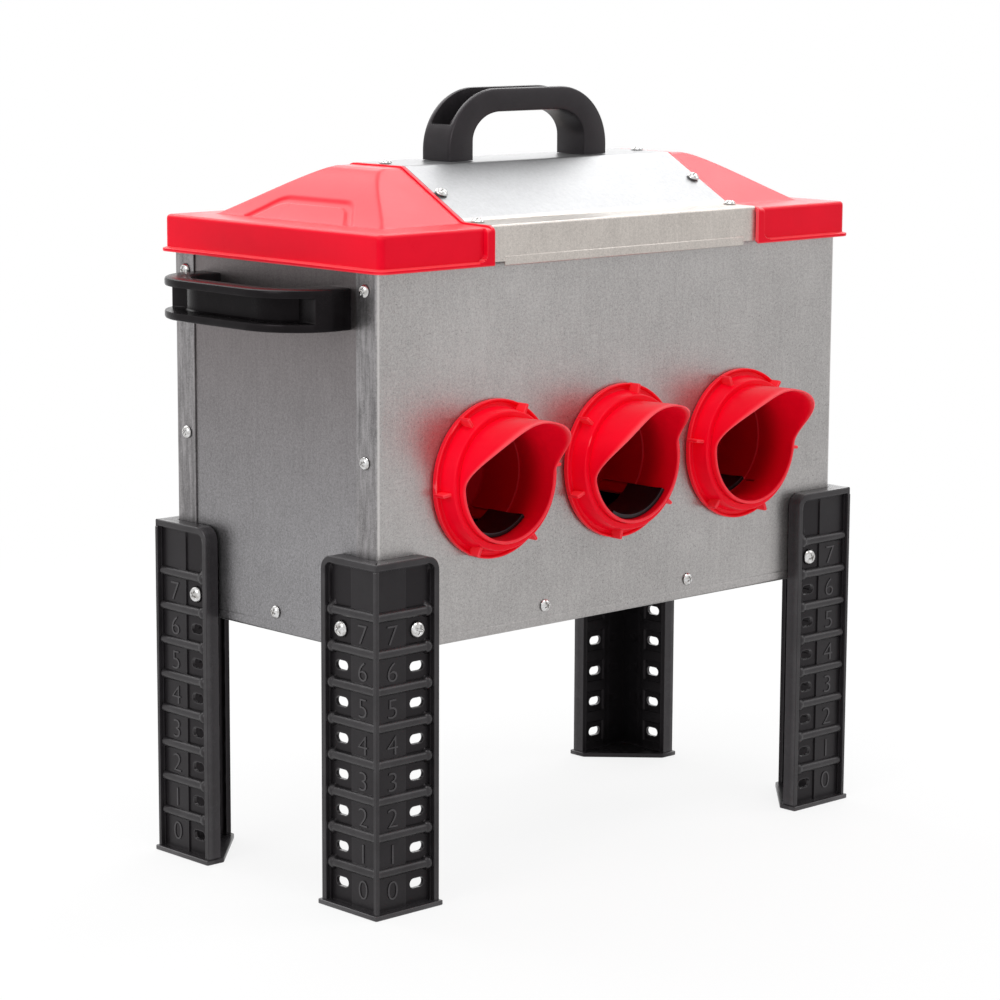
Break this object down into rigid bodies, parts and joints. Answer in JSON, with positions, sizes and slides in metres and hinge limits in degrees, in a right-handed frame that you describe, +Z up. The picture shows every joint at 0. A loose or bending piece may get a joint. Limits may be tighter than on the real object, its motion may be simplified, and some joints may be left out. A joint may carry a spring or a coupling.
{
  "type": "poultry feeder",
  "caption": "Galvanised poultry feeder: box hopper with hooded feed ports, lift-off hipped lid with carry handle, side handles and corner legs set for height by slotted rows.",
  "frame": {"origin": "on the floor, under the middle of the whole feeder, port hoods included", "axes": "+Z up; +X along the hopper's width, to the right as seen from the ports' side; -Y is the side with the feed ports"},
  "size_m": [0.5578, 0.2801, 0.5442],
  "materials": {
    "galvanised_sheet": "galvanised with fine spangle",
    "zinc_screw": "bright zinc",
    "red_plastic": "moulded, fine satin texture",
    "black_plastic": "moulded, soft sheen",
    "leg_plastic": "moulded, soft sheen"
  },
  "bodies": {
    "hopper": {"front_panel": "galvanised_sheet", "back_panel": "galvanised_sheet", "left_panel": "galvanised_sheet", "right_panel": "galvanised_sheet", "bottom_pan": "galvanised_sheet", "flange_screw_left_front_upper": "zinc_screw", "flange_screw_left_front_lower": "zinc_screw", "flange_screw_left_back_upper": "zinc_screw", "flange_screw_left_back_lower": "zinc_screw", "flange_screw_right_front_upper": "zinc_screw", "flange_screw_right_front_lower": "zinc_screw", "flange_screw_right_back_upper": "zinc_screw", "flange_screw_right_back_lower": "zinc_screw", "pan_screw_left": "zinc_screw", "pan_screw_right": "zinc_screw", "pan_screw_front_left": "zinc_screw", "pan_screw_front_right": "zinc_screw", "pan_screw_back_left": "zinc_screw", "pan_screw_back_right": "zinc_screw", "port_tube_left": "red_plastic", "port_tube_middle": "red_plastic", "port_tube_right": "red_plastic", "port_lock_ring_left": "red_plastic", "port_lock_ring_middle": "red_plastic", "port_lock_ring_right": "red_plastic", "side_handle_left": "black_plastic", "side_handle_right": "black_plastic"},
    "lid": {"lid_sheet": "galvanised_sheet", "lid_cap_left": "red_plastic", "lid_cap_right": "red_plastic", "lid_handle": "black_plastic", "lid_screw_left_ridge": "zinc_screw", "lid_screw_left_front_slope": "zinc_screw", "lid_screw_left_front_ledge": "zinc_screw", "lid_screw_left_back_slope": "zinc_screw", "lid_screw_left_back_ledge": "zinc_screw", "lid_screw_right_ridge": "zinc_screw", "lid_screw_right_front_slope": "zinc_screw", "lid_screw_right_front_ledge": "zinc_screw", "lid_screw_right_back_slope": "zinc_screw", "lid_screw_right_back_ledge": "zinc_screw", "handle_screw_left": "zinc_screw", "handle_screw_right": "zinc_screw"},
    "gate_left": {"feed_gate_left": "black_plastic"},
    "gate_middle": {"feed_gate_middle": "black_plastic"},
    "gate_right": {"feed_gate_right": "black_plastic"},
    "leg_front_left": {"leg_front_left": "leg_plastic", "leg_screw_front_left_front": "zinc_screw", "leg_screw_front_left_left": "zinc_screw"},
    "leg_front_right": {"leg_front_right": "leg_plastic", "leg_screw_front_right_front": "zinc_screw", "leg_screw_front_right_right": "zinc_screw"},
    "leg_back_left": {"leg_back_left": "leg_plastic", "leg_screw_back_left_back": "zinc_screw", "leg_screw_back_left_left": "zinc_screw"},
    "leg_back_right": {"leg_back_right": "leg_plastic", "leg_screw_back_right_back": "zinc_screw", "leg_screw_back_right_right": "zinc_screw"}
  },
  "joints": [
    {"name": "lid_lift", "type": "slide", "parent": "hopper", "child": "lid", "axis": [0, 0, 1], "range_m": [0, 0.12]},
    {"name": "gate_left_slide", "type": "slide", "parent": "hopper", "child": "gate_left", "axis": [0, 1, 0], "range_m": [-0.01, 0.0189]},
    {"name": "gate_middle_slide", "type": "slide", "parent": "hopper", "child": "gate_middle", "axis": [0, 1, 0], "range_m": [0, 0.0289]},
    {"name": "gate_right_slide", "type": "slide", "parent": "hopper", "child": "gate_right", "axis": [0, 1, 0], "range_m": [-0.0289, 0]},
    {"name": "leg_front_left_height", "type": "slide", "parent": "hopper", "child": "leg_front_left", "axis": [0, 0, 1], "range_m": [0, 0.15]},
    {"name": "leg_front_right_height", "type": "slide", "parent": "hopper", "child": "leg_front_right", "axis": [0, 0, 1], "range_m": [0, 0.15]},
    {"name": "leg_back_left_height", "type": "slide", "parent": "hopper", "child": "leg_back_left", "axis": [0, 0, 1], "range_m": [0, 0.15]},
    {"name": "leg_back_right_height", "type": "slide", "parent": "hopper", "child": "leg_back_right", "axis": [0, 0, 1], "range_m": [0, 0.15]}
  ]
}
